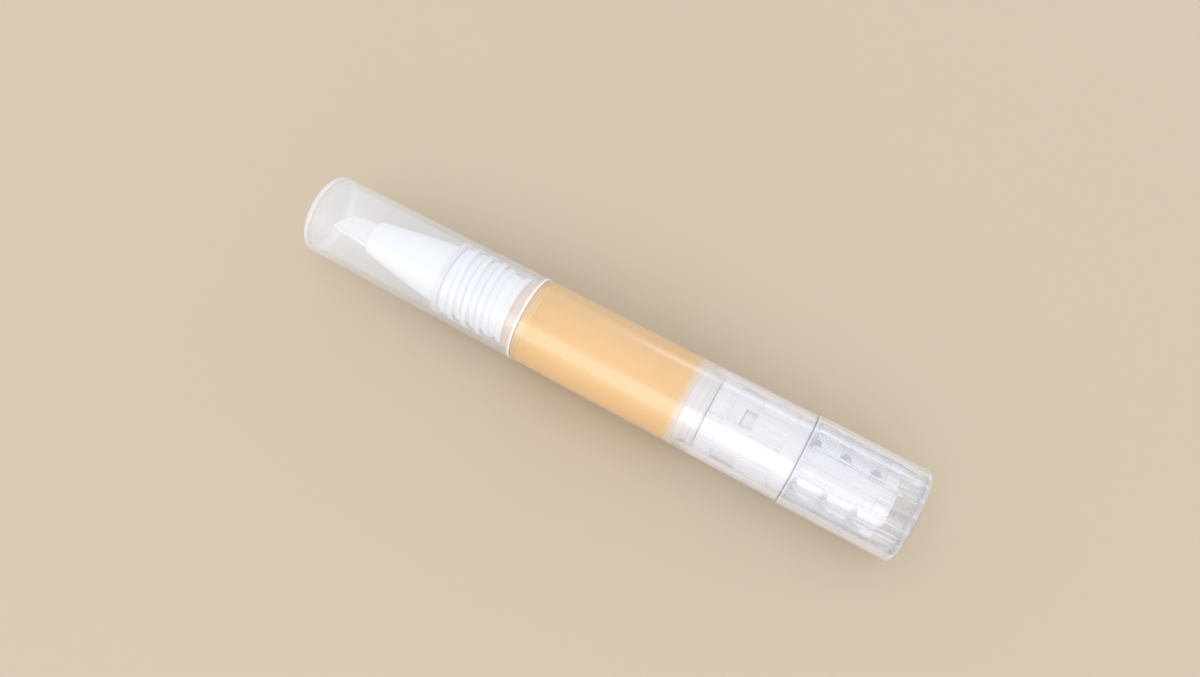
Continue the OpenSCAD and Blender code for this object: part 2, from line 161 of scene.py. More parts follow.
class CapSizes(bpy.types.PropertyGroup):
    start: station("Mouth", "Where the cap's mouth is", span("cap_shell")[0])
    stop: station("Closed end", "Where the cap ends", span("cap_shell")[1])
    radius: length("Radius", "Outer radius at the mouth", span("cap_shell")[2])
    end_radius: length("End radius", "Outer radius at the closed end", 0.006425)
    wall: length("Wall", "Side wall of the cap", 0.0008)
    end: length("End wall", "Thickness of the closed end", 0.0009)
    edge: length("End edge", "Rounding of the closed end's edge", 0.001)
    lip: length("Lip", "Rounding of the mouth's edge", 0.00012)
    liner_stop: station("Liner stop", "Where the step behind the liner is", 0.0778)
    liner_step: length("Liner step", "Height of that step", 0.00025)


class NozzleSizes(bpy.types.PropertyGroup):
    start: station("Start", "Where the plug starts", span("nozzle")[0])
    stop: station("Mouth", "Where the cone ends", span("nozzle")[1])
    passage: length("Passage", "Radius of the oil passage", 0.0031)
    plug: length("Plug radius", "Radius of the plug in the neck", 0.004825)
    plug_long: length("Plug length", "Length of the plug", 0.0035)
    flange_long: length("Flange", "Length of the flange on the neck", 0.001)
    collar: length("Collar radius", "Radius of the collar under its thread", 0.005)
    bead: length("Bead", "How far flange and bead stand over the collar", 0.00045)
    bead_long: length("Bead length", "Length of the bead before the cone", 0.0012)
    cone_long: length("Cone", "Length of the cone", 0.0149)
    mouth: length("Mouth radius", "Outer radius of the cone's mouth", 0.00275)
    brush_bore: length("Brush bore", "Radius of the bore that holds the brush", 0.0024)
    brush_bore_long: length("Brush bore length", "Length of that bore", 0.0069)


class ThreadSizes(bpy.types.PropertyGroup):
    pitch: length("Pitch", "Travel of the thread in one turn", 0.00245)
    start: station("Start", "Where the ridge starts", 0.0671)
    turns: bpy.props.FloatProperty(name="Turns", description="Turns of the ridge", default=3.3, min=0.5)
    height: length("Height", "How far the nozzle's ridge stands out", 0.00046)
    width: length("Width", "Width of a ridge at its foot", 0.0011)
    cap_height: length("Cap ridge", "How far the cap's ridge stands in", 0.00036)


class BrushSizes(bpy.types.PropertyGroup):
    root: station("Root", "Where the strands leave their fused slice", 0.0909)
    slice: length("Slice", "Thickness of the fused slice", 0.0015)
    tip: station("Tip", "Where the longest strand ends", span("bristles")[1])
    radius: length("Radius", "Radius of the bundle at its root", 0.00231)
    hole: length("Hole", "Radius kept free for the feed tube", 0.00062)
    meet: length("Meeting length", "Distance over which the strands would meet", 0.0223)
    strands: count("Strands", "Strands in the brush", 620)
    strand: length("Strand radius", "Radius of one strand", 0.000078)
    slope: angle("Cut", "Slope of the slanted cut", 40)
    side: angle("Long side", "Where the long side stands, from straight up", 250.9)
    uneven: length("Unevenness", "How unevenly the strands are cut", 0.00026)


class DriveSizes(bpy.types.PropertyGroup):
    rod_start: station("Rod start", "Where the rod starts", span("screw_rod")[0])
    rod_stop: length("Rod end", "Where the rod ends", span("screw_rod")[1])
    rod: length("Rod radius", "Radius of the rod over its thread", 0.0033)
    core: length("Core radius", "Radius of the rod under its thread", 0.00262)
    flats: length("Flats", "Half the width across the rod's two flats", 0.0024)
    lead: length("Lead", "Travel of the rod in one turn of the knob", 0.00465)
    piston_start: length("Piston start", "Where the piston starts", span("piston")[0])
    piston_stop: length("Piston end", "Where the piston ends", span("piston")[1])
    piston: length("Piston radius", "Radius of the piston over its lips", 0.00585)
    lip: length("Lip length", "Length of a wiping lip", 0.0008)
    waist: length("Waist", "Depth of the waist under the lips", 0.0004)
    cup: length("Cup", "Depth of the cup in the piston's front", 0.0008)


class PenColours(bpy.types.PropertyGroup):
    oil: colour("Oil", "The oil's colour", 252, 206, 110)
    oil_pale: colour("Pale oil", "The thin oil against the piston", 248, 232, 222)
    cap: colour("Cap", "The cap's veil", 244, 247, 255)
    knob: colour("Knob", "The knob's veil", 242, 245, 255)
    barrel: colour("Barrel", "The barrel's veil", 245, 245, 255)
    glow: colour("Glow", "The shoulder and the neck's bore, lit up by the oil", 253, 214, 142)
    nozzle: colour("Nozzle", "The nozzle's white", 242, 243, 245)
    parts: colour("Inner parts", "White of the sleeve, the housing and the rod", 247, 248, 254)
    soft: colour("Soft parts", "White of the piston, the liner and the feed tube", 240, 238, 240)
    nylon: colour("Brush", "The strands' white", 250, 250, 250)
    floor: colour("Floor", "The table under the pen", 204, 188, 166)
    room: colour("Background", "What lies behind the table", 236, 233, 229)


SIZE_GROUPS = {
    "pen_knob": KnobSizes,
    "pen_barrel": BarrelSizes,
    "pen_cap": CapSizes,
    "pen_nozzle": NozzleSizes,
    "pen_thread": ThreadSizes,
    "pen_brush": BrushSizes,
    "pen_drive": DriveSizes,
    "pen_colours": PenColours,
}

# Drawing node trees


class Value:
    """A socket of a node tree. Arithmetic on it adds Math nodes."""

    def __init__(self, graph, socket):
        self.graph = graph
        self.socket = socket

    def math(self, operation, *others):
        return self.graph.node("ShaderNodeMath", {"operation": operation}, dict(enumerate([self, *others])))

    __add__ = partialmethod(math, "ADD")
    __sub__ = partialmethod(math, "SUBTRACT")
    __mul__ = partialmethod(math, "MULTIPLY")
    __truediv__ = partialmethod(math, "DIVIDE")
    __pow__ = partialmethod(math, "POWER")

    def __rsub__(self, other):
        return self * -1.0 + other

    def __rtruediv__(self, other):
        return self.math("POWER", -1.0) * other

    def clipped(self):
        """The value kept from 0 to 1."""
        return self.math("MAXIMUM", 0.0).math("MINIMUM", 1.0)


def turn_and_radius(aside, height):
    """The turn from straight up towards +Y, and the distance from the pen's axis."""
    return aside.math("ARCTAN2", height), (aside * aside + height * height).math("SQRT")


def for_socket(tint):
    """A colour with its alpha, as a socket takes it. A Value stays as it is."""
    return tint if isinstance(tint, Value) else (*tint, 1.0)


class Graph:
    """A node tree being drawn, for a material or for Geometry Nodes."""

    def __init__(self, tree):
        self.tree = tree
        self.inputs = {}
        tree.nodes.clear()

    def node(self, kind, settings=None, values=None, output=0):
        """Adds a node with these settings and socket values or links, and gives one of its outputs."""
        made = self.tree.nodes.new(kind)
        for name, setting in (settings or {}).items():
            setattr(made, name, setting)
        for socket, value in (values or {}).items():
            if isinstance(value, Value):
                self.tree.links.new(value.socket, made.inputs[socket])
            else:
                made.inputs[socket].default_value = value
        return Value(self, made.outputs[output] if len(made.outputs) else None)

    def parts(self, vector):
        """The x, y and z of a vector."""
        split = self.node("ShaderNodeSeparateXYZ", {}, {0: vector})
        return [Value(self, socket) for socket in split.socket.node.outputs]


# Finishes


class Finish(Graph):
    """A material being drawn. Its patterns lie in object coordinates centred on the pen."""

    def __init__(self, name):
        self.material = bpy.data.materials.new(name)
        self.material.use_nodes = True
        super().__init__(self.material.node_tree)
        self.coordinates = self.node("ShaderNodeTexCoord", output="Object")

    def place(self, stretch=(1.0, 1.0, 1.0)):
        """Object coordinates with the pen's axis at the middle, stretched."""
        centre = (0.0, 0.0, -AXIS_Z * stretch[2])
        return self.node(
            "ShaderNodeMapping", {}, {"Vector": self.coordinates, "Location": centre, "Scale": stretch}
        )

    def noise(self, scale, detail=2.0, stretch=(1.0, 1.0, 1.0)):
        """Soft noise from 0 to 1, with about scale spots in a metre."""
        return self.node(
            "ShaderNodeTexNoise", {}, {"Vector": self.place(stretch), "Scale": scale, "Detail": detail}
        )

    def round_axis(self):
        """The turn round the pen's axis and the distance from it."""
        _, aside, height = self.parts(self.place())
        return turn_and_radius(aside, height)

    def painted(self, name):
        """An attribute painted on the piece's points."""
        return self.node("ShaderNodeAttribute", {"attribute_name": name}, output="Fac")

    def facing(self):
        """0 where the surface faces the eye, 1 where it is seen edge on."""
        return self.node("ShaderNodeLayerWeight", {}, {"Blend": 0.5}, output="Facing")

    def mix(self, factor, first, second):
        """Two colours mixed by a factor."""
        colours = {0: factor, 6: for_socket(first), 7: for_socket(second)}
        return self.node("ShaderNodeMix", {"data_type": "RGBA"}, colours, output=2)

    def bump(self, height, distance):
        return self.node("ShaderNodeBump", {}, {"Height": height, "Distance": distance, "Strength": 1.0})

    def surface(self, constants, **values):
        """A Principled shader with these constants and varying values."""
        names = {key.replace("_", " "): value for key, value in values.items()}
        return self.node("ShaderNodeBsdfPrincipled", {}, {**constants, **names})

    def blended(self, factor, first, second):
        """Two shaders mixed by a factor."""
        return self.node("ShaderNodeMixShader", {}, {0: factor, 1: first, 2: second})

    def shown(self, shader, lamps_through=0.0):
        """Ends the material in the shader, which lets this share of the lamps' light through."""
        if lamps_through:
            let_in = self.node("ShaderNodeBsdfTransparent", {}, {"Color": for_socket([lamps_through] * 3)})
            shadow = self.node("ShaderNodeLightPath", output="Is Shadow Ray")
            shader = self.blended(shadow, shader, let_in)
        self.node("ShaderNodeOutputMaterial", {}, {"Surface": shader})
        return self.material


def tone(colour_value, brightness):
    """A colour made lighter or darker."""
    return tuple(min(1.0, c * brightness) for c in colour_value)


def opaque_plastic(name, tint, roughness, shade_depth=0.94, lamps_through=0.0):
    """Moulded white plastic: faint flow clouds along the pen, fine grain and a soft sheen."""
    look = Finish(name)
    clouds = look.noise(260.0, 3.0, (0.35, 1.0, 1.0))
    grain = look.noise(5200.0)
    plastic = look.surface(
        {"IOR": 1.49},
        Base_Color=look.mix(clouds, tone(tint, shade_depth), tint),
        Roughness=grain * 0.14 + (roughness - 0.07),
        Normal=look.bump(grain, 0.000004),
    )
    return look.shown(plastic, lamps_through)


def veiled_plastic(name, tint, veil, edge_veil, roughness, painted=None, highlight_veil=0.0):
    """Thin see-through plastic with a milky veil, thicker where seen edge on, and whiter and less clear at
    painted places, which are painted highlights.
    """
    look = Finish(name)
    drag = look.noise(900.0, 3.0, (0.06, 1.0, 1.0))
    clouds = look.noise(150.0)
    fine = look.noise(4200.0)
    cover = look.facing() ** 2.6 * (edge_veil - veil) + veil + (clouds - 0.5) * 0.14 * veil
    cover = cover + (drag - 0.5) * 0.1 * veil
    tinted = look.mix(drag, tone(tint, 0.98), tone(tint, 1.01))
    if painted:
        # Painted highlights: the painted places get more veil and a whiter tint
        painted_highlight = look.painted(painted)
        cover = cover + painted_highlight * highlight_veil
        tinted = look.mix(painted_highlight.clipped(), tinted, (0.98, 0.985, 1.0))
    plastic = look.surface(
        {"IOR": 1.49, "Coat Weight": 1.0, "Coat IOR": 1.6, "Coat Roughness": 0.26},
        Base_Color=tinted,
        Alpha=cover.clipped(),
        Roughness=fine * 0.06 + (roughness - 0.03),
        Normal=look.bump(drag * 0.6 + fine * 0.15, 0.000006),
    )
    return look.shown(plastic, lamps_through=0.95)


def thick_plastic(look, tint, cover, roughness, coat, relief, lamps_through=0.95):
    """See-through plastic that bends what lies behind it, with a milky veil over this share of it.

    Its coat is an IOR, a roughness and a weight."""
    drag = look.noise(800.0, 3.0, (0.06, 1.0, 1.0))
    fine = look.noise(4000.0)
    skin = {"IOR": 1.49, "Coat IOR": coat[0], "Coat Roughness": coat[1]}
    rough = fine * 0.03 + (roughness - 0.015)
    shared = {"Normal": look.bump(drag * 0.6 + fine * 0.15, relief), "Coat_Weight": coat[2]}
    glass = {**skin, "Transmission Weight": 1.0, "Base Color": (0.985, 0.985, 0.99, 1.0)}
    clear = look.surface(glass, Roughness=rough, **shared)
    milky = look.surface(skin, Base_Color=for_socket(tint), Roughness=rough + 0.2, **shared)
    return look.shown(look.blended(cover.clipped(), clear, milky), lamps_through)


def knob_plastic(name, tint, knob):
    """Clear glossy plastic, a little whiter at its sides where seen edge on, with painted highlights along
    its ribs, at its mouth and round its end's edge.
    """
    look = Finish(name)
    turn, radius = look.round_axis()
    pitch = math.tau / knob.ribs
    phase = (turn - knob.first_rib) / pitch
    off = (phase - phase.math("ROUND")).math("ABSOLUTE") * pitch * knob.radius
    # Painted highlights: a white stripe over each rib on the outside
    rib_highlight = (1.5 - off / (knob.rib_width * 0.5)).clipped()
    side = ((look.facing() - 0.44) / 0.1).clipped()
    fade = 0.0002
    wall = ((radius - knob.radius) / fade + 2.0).clipped()
    # The painted highlights at the ribs, the mouth and the end's edge add to the veil
    cover = wall * (side * 0.3 + rib_highlight * 0.11) + 0.11 + look.painted("knob_painted_highlight") * 0.6
    return thick_plastic(look, tint, cover, roughness=0.05, coat=(1.3, 0.2, 1.0), relief=0.0000004)


def barrel_plastic(name, colours):
    """Milky see-through plastic, hazier round the housing, lit up by the oil at its shoulder and neck."""
    look = Finish(name)
    glow = look.painted("glow")
    rear = look.painted("rear")
    clouds = look.noise(130.0)
    side = ((look.facing() - 0.4) / 0.12).clipped()
    edge = look.facing() ** 2.2 * 0.08 + side * rear * 0.4
    cover = edge + 0.13 + (clouds - 0.5) * 0.03 + glow * 0.8
    tint = look.mix((glow * 3.0).clipped(), colours.barrel, colours.glow)
    coat = (1.95, 0.26, 1.0 - rear * 0.7)
    return thick_plastic(look, tint, cover, roughness=0.08, coat=coat, relief=0.0000006)


def oil_finish(name, colours):
    """Oil behind the milky wall: even orange, a little deeper in places, fading out against the piston."""
    look = Finish(name)
    depth = look.painted("from_piston")
    clouds = look.noise(90.0)
    body = look.mix(clouds, tone(colours.oil, 0.97), tone(colours.oil, 1.03))
    pale_end = 0.0018
    fade = look.node(
        "ShaderNodeMapRange",
        {"interpolation_type": "SMOOTHSTEP"},
        {"Value": depth, "From Min": 0.0, "From Max": pale_end, "To Min": 0.0, "To Max": 1.0},
    )
    oil = look.surface(
        {"IOR": 1.2},
        Base_Color=look.mix(fade, colours.oil_pale, body),
        Roughness=clouds * 0.1 + 0.5,
        Normal=look.bump(look.noise(400.0, 1.0), 0.00001),
    )
    return look.shown(oil, lamps_through=0.25)


def nylon_finish(name, tint):
    """White nylon strands, each a shade lighter or darker at random, and a little darker at the root, a
    painted shade where they crowd together.
    """
    look = Finish(name)
    shade = look.painted("strand_shade")
    reach = look.painted("strand_share")
    streaks = look.noise(2600.0, 2.0, (0.05, 1.0, 1.0))
    # Painted shade: a little darker towards the root
    tinted = look.mix(reach.clipped(), tone(tint, 0.97), tint)
    tinted = look.mix(shade * 0.35, tinted, tone(tint, 0.88))
    nylon = look.surface(
        {"IOR": 1.53},
        Base_Color=tinted,
        Roughness=streaks * 0.2 + 0.32,
        Normal=look.bump(streaks, 0.000004),
    )
    return look.shown(nylon, lamps_through=0.75)


def table_finish(name, tint):
    """A plain pale table top with hardly any mottling."""
    look = Finish(name)
    mottle = look.noise(9.0, 3.0)
    grain = look.noise(900.0)
    top = look.surface(
        {"IOR": 1.4},
        Base_Color=look.mix(mottle, tone(tint, 0.985), tone(tint, 1.01)),
        Roughness=grain * 0.1 + 0.6,
        Normal=look.bump(grain, 0.00001),
    )
    return look.shown(top)


# Making pieces


def rounded(corners, steps=6):
    """An outline of (along, radius) points through these corners. A third number rounds one off."""
    points = []
    for k, (along, radius, *rounding) in enumerate(corners):
        here = Vector((along, radius))
        if not rounding:
            points.append((along, radius))
            continue
        rounding = rounding[0]
        back = (Vector(corners[k - 1][:2]) - here).normalized()
        ahead = (Vector(corners[(k + 1) % len(corners)][:2]) - here).normalized()
        half = back.angle(ahead) / 2
        centre = here + (back + ahead).normalized() * rounding / math.sin(half)
        first = here + back * rounding / math.tan(half) - centre
        last = here + ahead * rounding / math.tan(half) - centre
        sweep = first.angle_signed(last)
        for step in range(steps + 1):
            turn = -sweep * step / steps
            arm = Matrix.Rotation(turn, 2) @ first
            points.append(tuple(centre + arm))
    return points


def turned(outline, turns=None):
    """A closed mesh turned round the pen's axis. Its outline is a loop, or has both ends on the axis."""
    turns = turns or even_turns(SIDES)
    mesh = bmesh.new()
    rings = []
    for along, radius in outline:
        around = turns if radius > TINY else [0.0]
        rings.append([mesh.verts.new(at(along, max(radius, 0.0), turn)) for turn in around])
    pairs = list(zip(rings, rings[1:]))
    if len(rings[0]) > 1:
        pairs.append((rings[-1], rings[0]))
    for near, far in pairs:
        for k in range(len(turns)):
            corners = [
                near[k % len(near)],
                near[(k + 1) % len(near)],
                far[(k + 1) % len(far)],
                far[k % len(far)],
            ]
            mesh.faces.new(list(dict.fromkeys(corners)))
    return mesh


def added(mesh, other):
    """The bmesh with a plain mesh's faces put beside its own."""
    mesh.from_mesh(other)
    bpy.data.meshes.remove(other)
    return mesh


def plain_mesh(name, mesh):
    """Turns a bmesh into a mesh."""
    data = bpy.data.meshes.new(name)
    mesh.to_mesh(data)
    mesh.free()
    return data


def as_piece(name, mesh, material, sharp=33.0):
    """Turns a bmesh into an object with outward faces, smooth but for its real edges."""
    bmesh.ops.recalc_face_normals(mesh, faces=mesh.faces)
    data = plain_mesh(name, mesh)
    data.shade_smooth()
    data.set_sharp_from_angle(angle=math.radians(sharp))
    data.materials.clear()
    data.materials.append(material)
    piece = bpy.data.objects.new(name, data)
    bpy.context.scene.collection.objects.link(piece)
    return piece


def paint(data, name, measure):
    """Stores measure(along, radius) on a mesh's points, for a material or a node tree to read."""
    spots = [(END_X - v.co.x, math.hypot(v.co.y, v.co.z - AXIS_Z)) for v in data.vertices]
    attribute = data.attributes.new(name, "FLOAT", "POINT")
    attribute.data.foreach_set("value", [measure(*spot) for spot in spots])


def seat(piece, body, slot, *nodes):
    """Makes a finished piece move with its body and stand for its CAD nodes."""
    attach(piece, body)
    if nodes:
        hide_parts(*nodes)


# Geometry Nodes


class Growth(Graph):
    """A Geometry Nodes tree with named inputs for its sizes."""

    def __init__(self, name, sizes):
        super().__init__(bpy.data.node_groups.new(name, "GeometryNodeTree"))
        face = self.tree.interface
        face.new_socket("Geometry", in_out="INPUT", socket_type="NodeSocketGeometry")
        for label, size in sizes.items():
            kind = "NodeSocketInt" if isinstance(size, int) else "NodeSocketFloat"
            face.new_socket(label, in_out="INPUT", socket_type=kind).default_value = size
        face.new_socket("Geometry", in_out="OUTPUT", socket_type="NodeSocketGeometry")
        self.sizes = sizes
        entry = self.tree.nodes.new("NodeGroupInput")
        self.base = Value(self, entry.outputs[0])
        self.given = {label: Value(self, entry.outputs[label]) for label in sizes}

    def position(self):
        return self.node("GeometryNodeInputPosition")

    def pen_position(self):
        """Each point's place along the pen, and how far it lies aside of and above the axis."""
        place, aside, height = self.parts(self.position())
        return place * -1.0 + END_X, aside, height - AXIS_Z

    def stored(self, geometry, name, value):
        return self.node(
            "GeometryNodeStoreNamedAttribute",
            {"data_type": "FLOAT", "domain": "POINT"},
            {"Geometry": geometry, "Name": name, "Value": value},
        )

    def chance(self, number, low, seed):
        """A random number from low to 1 for each point."""
        limits = {2: low, 3: 1.0, "ID": number, "Seed": seed}
        return self.node("FunctionNodeRandomValue", {"data_type": "FLOAT"}, limits, 1)

    def named(self, name):
        return self.node("GeometryNodeInputNamedAttribute", {"data_type": "FLOAT"}, {"Name": name})

    def moved(self, geometry, along, radius, turn):
        """Puts each point at this place along the pen, distance from its axis and turn round it."""
        height = radius * turn.math("COSINE") + AXIS_Z
        return self.placed(geometry, along, radius * turn.math("SINE"), height)

    def placed(self, geometry, along, aside, height):
        spot = self.node("ShaderNodeCombineXYZ", {}, {0: along * -1.0 + END_X, 1: aside, 2: height})
        return self.node("GeometryNodeSetPosition", {}, {"Geometry": geometry, "Position": spot})

    def grown(self, geometry, material, base=None):
        """Ends the tree, runs it on the base mesh and gives the plain mesh that it makes."""
        whole = self.node("GeometryNodeRealizeInstances", {}, {0: geometry})
        dressed = self.node("GeometryNodeSetMaterial", {}, {"Geometry": whole, "Material": material})
        self.node("NodeGroupOutput", {}, {0: dressed})
        host = bpy.data.objects.new("growing", base or bpy.data.meshes.new("growing"))
        bpy.context.scene.collection.objects.link(host)
        modifier = host.modifiers.new("Growth", "NODES")
        modifier.node_group = self.tree
        for item in self.tree.interface.items_tree:
            if item.item_type == "SOCKET" and item.in_out == "INPUT" and item.name in self.sizes:
                modifier[item.identifier] = self.sizes[item.name]
        view = bpy.context.evaluated_depsgraph_get()
        plain = bpy.data.meshes.new_from_object(host.evaluated_get(view), depsgraph=view)
        host.modifiers.remove(modifier)
        bpy.data.objects.remove(host)
        return plain


def thread_ridge(name, material, **sizes):
    """A helical ridge round the pen's axis that tapers out over a fifth of a turn at both ends."""
    growth = Growth(name, sizes)
    given = growth.given
    section = 15
    counts = {"Size X": 1.0, "Size Y": 1.0, "Vertices X": given["Steps"], "Vertices Y": section}
    grid = growth.node("GeometryNodeMeshGrid", {}, counts)
    path, loop, _ = growth.parts(growth.position())
    path = path + 0.5
    loop = (loop + 0.5) * math.tau
    taper = path.math("MINIMUM", path * -1.0 + 1.0) * given["Turns"] * 5.0
    taper = taper.clipped() ** 0.6
    rise = loop.math("SINE")
    crest = rise.math("MAXIMUM", 0.0) ** 0.45
    sunk = rise.math("MINIMUM", 0.0) * given["Sink"]
    turn = path * given["Turns"] * math.tau + given["Turn"]
    along = path * given["Turns"] * given["Pitch"] + given["Start"]
    along = along + loop.math("COSINE") * given["Width"] * 0.5 * taper
    radius = given["Foot"] + (crest * given["Height"] + sunk) * taper
    bent = growth.moved(grid, along, radius, turn)
    closed = growth.node("GeometryNodeMergeByDistance", {}, {"Geometry": bent, "Distance": TINY})
    return growth.grown(closed, material)


def ribbed_inside(name, material, base, **sizes):
    """Draws ribs out of the inside of a shell, where its points are marked rib_reach."""
    growth = Growth(name, sizes)
    given = growth.given
    along, aside, height = growth.pen_position()
    turn, radius = turn_and_radius(aside, height)
    pitch = math.tau / given["Ribs"]
    phase = (turn - given["Turn"]) / pitch
    off = (phase - phase.math("ROUND")).math("ABSOLUTE") * pitch * given["Foot"]
    half = given["Width"] * 0.5
    flank = ((half - off) / RIB_FLANK + 1.0).clipped()
    crown = 1.0 - (off / half) ** 2.0 * 0.05
    rib = flank * growth.named("rib_reach")
    inward = radius - rib * crown * given["Height"]
    ribbed = growth.moved(growth.base, along, inward, turn)
    return growth.grown(ribbed, material, base)


def threaded_rod(name, material, base, **sizes):
    """Cuts a coarse rounded thread and two flats on a plain rod."""
    growth = Growth(name, sizes)
    given = growth.given
    along, aside, height = growth.pen_position()
    turn, radius = turn_and_radius(aside, height)
    phase = along / given["Lead"] - turn / math.tau
    wave = (phase - phase.math("ROUND")).math("ABSOLUTE") * 2.0
    crest, flank = 0.42, 0.12
    ridge = ((crest - wave) / flank + 0.5).clipped()
    depth = (1.0 - ridge) * (given["Radius"] - given["Core"]) * growth.named("thread_reach")
    cut = (radius - depth) / radius.math("MAXIMUM", 1e-6)
    flat = (height * cut).math("MINIMUM", given["Flats"]).math("MAXIMUM", given["Flats"] * -1.0)
    shaped = growth.placed(growth.base, along, aside * cut, flat + AXIS_Z)
    return growth.grown(shaped, material, base)


def strand_tuft(name, material, **sizes):
    """A round brush of strands that run towards one point and are cut on a slant."""
    growth = Growth(name, sizes)
    given = growth.given
    number = growth.node("GeometryNodeInputIndex")
    share_out = ((number + 0.5) / given["Strands"]) ** 0.5
    start = given["Hole"] / given["Radius"]
    reach = (share_out ** 2.0 * (1.0 - start * start) + start * start) ** 0.5 * given["Radius"]
    golden_turn = 2.399963
    turn = number * golden_turn
    points = growth.node("GeometryNodePoints", {}, {"Count": given["Strands"]})
    foot = {
        "root_up": reach * turn.math("COSINE"),
        "root_side": reach * turn.math("SINE"),
        "strand_uneven": growth.chance(number, -1.0, 7),
        "strand_shade": growth.chance(number, 0.0, 11),
    }
    for mark, value in foot.items():
        points = growth.stored(points, mark, value)
    taper = {"Radius Top": 0.62, "Radius Bottom": 1.0, "Depth": 1.0}
    counts = {"Vertices": 5, "Side Segments": 5}
    stick = growth.node("GeometryNodeMeshCone", {"fill_type": "NGON"}, {**counts, **taper})
    for mark, value in zip(("stick_up", "stick_side", "strand_share"), growth.parts(growth.position())):
        stick = growth.stored(stick, mark, value)
    tuft = growth.node("GeometryNodeInstanceOnPoints", {}, {"Points": points, "Instance": stick})
    tuft = growth.node("GeometryNodeRealizeInstances", {}, {0: tuft})
    root_up, root_side = growth.named("root_up"), growth.named("root_side")
    lean = root_up * given["Side"].math("COSINE") + root_side * given["Side"].math("SINE")
    lean = lean * given["Slope"].math("TANGENT")
    slack = growth.named("strand_uneven") * given["Uneven"]
    cut = (given["Cut"] + slack + lean) / (given["Meet"] + lean)
    run = cut * growth.named("strand_share")
    bend = 0.00004
    bow = (growth.named("strand_share") * math.pi).math("SINE") * growth.named("strand_uneven") * bend
    height = root_up * (1.0 - run) + growth.named("stick_up") * given["Strand"] + bow + AXIS_Z
    aside = root_side * (1.0 - run) + growth.named("stick_side") * given["Strand"]
    along = run * given["Meet"] + given["Root"]
    return growth.grown(growth.placed(tuft, along, aside, height), material)


# Operators, one for each piece or group of like pieces


class PenOperator:
    """What the operators share: each one's make() builds its pieces."""

    bl_options = {"REGISTER", "UNDO"}

    def execute(self, context):
        self.make(context.scene)
        return {"FINISHED"}


class PEN_OT_cap(PenOperator, bpy.types.Operator):
    """Makes the see-through screw cap with the thread inside its mouth"""

    bl_idname = "pen.make_cap"
    bl_label = "Cap"

    def make(self, scene):
        cap, thread, colours = scene.pen_cap, scene.pen_thread, scene.pen_colours
        # Its painted highlights, stored as rim, whiten the lip, the closed end's edge and the thread ridge
        # inside
        look = veiled_plastic(
            "see_through_cap", colours.cap, veil=0.215, edge_veil=0.55, roughness=0.26,
            painted="rim", highlight_veil=0.6,
        )
        bore = cap.radius - cap.wall
        inner = bore - cap.liner_step
        end_inner = cap.end_radius - cap.wall
        taper = cap.start + 0.0006
        # A shallow moulding mark in the middle of the closed end
        dimple, nub = 0.0012, 0.00045
        dimple_floor, nub_top = cap.stop - 0.00016, cap.stop - 0.00006
        corners = [
            (nub_top, 0.0),
            (nub_top, nub, 0.00003),
            (dimple_floor, nub + 0.00012, 0.00004),
            (dimple_floor, dimple - 0.0001, 0.00005),
            (cap.stop, dimple + 0.00012, 0.00006),
            (cap.stop, cap.end_radius, cap.edge),
            (cap.stop - cap.edge - 0.0003, cap.end_radius + 0.00002),
            (taper, cap.radius),
            (cap.start, cap.radius, cap.lip),
            (cap.start, bore, cap.lip),
            (taper, bore),
            (cap.liner_stop, bore),
            (cap.liner_stop, inner, 0.00006),
            (cap.stop - cap.end, end_inner, 0.00035),
            (cap.stop - cap.end, 0.0),
        ]
        ridge = thread_ridge(
            "Cap thread", look, Steps=260, Turns=thread.turns - 0.5, Turn=math.radians(200.0),
            Pitch=thread.pitch, Start=thread.start + thread.pitch * 0.75, Foot=bore,
            Height=-thread.cap_height, Sink=-0.00005, Width=thread.width * 0.8,
        )
        piece = as_piece("cap_clear", added(turned(rounded(corners)), ridge), look)
        end = cap.stop - cap.edge - 0.0002

        # Painted highlights: a band round the closed end's edge, the lip of the mouth and the thread ridge
        # inside
        def painted_cap_highlight(along, radius):
            if along > end and radius > end_inner:
                return 0.5
            if along < cap.start + 0.0005:
                return 1.0
            return 0.9 if radius < bore - 0.00008 and along < cap.liner_stop - 0.0005 else 0.0

        paint(piece.data, "rim", painted_cap_highlight)
        seat(piece, "cap", "clear_cap", "cap_shell")


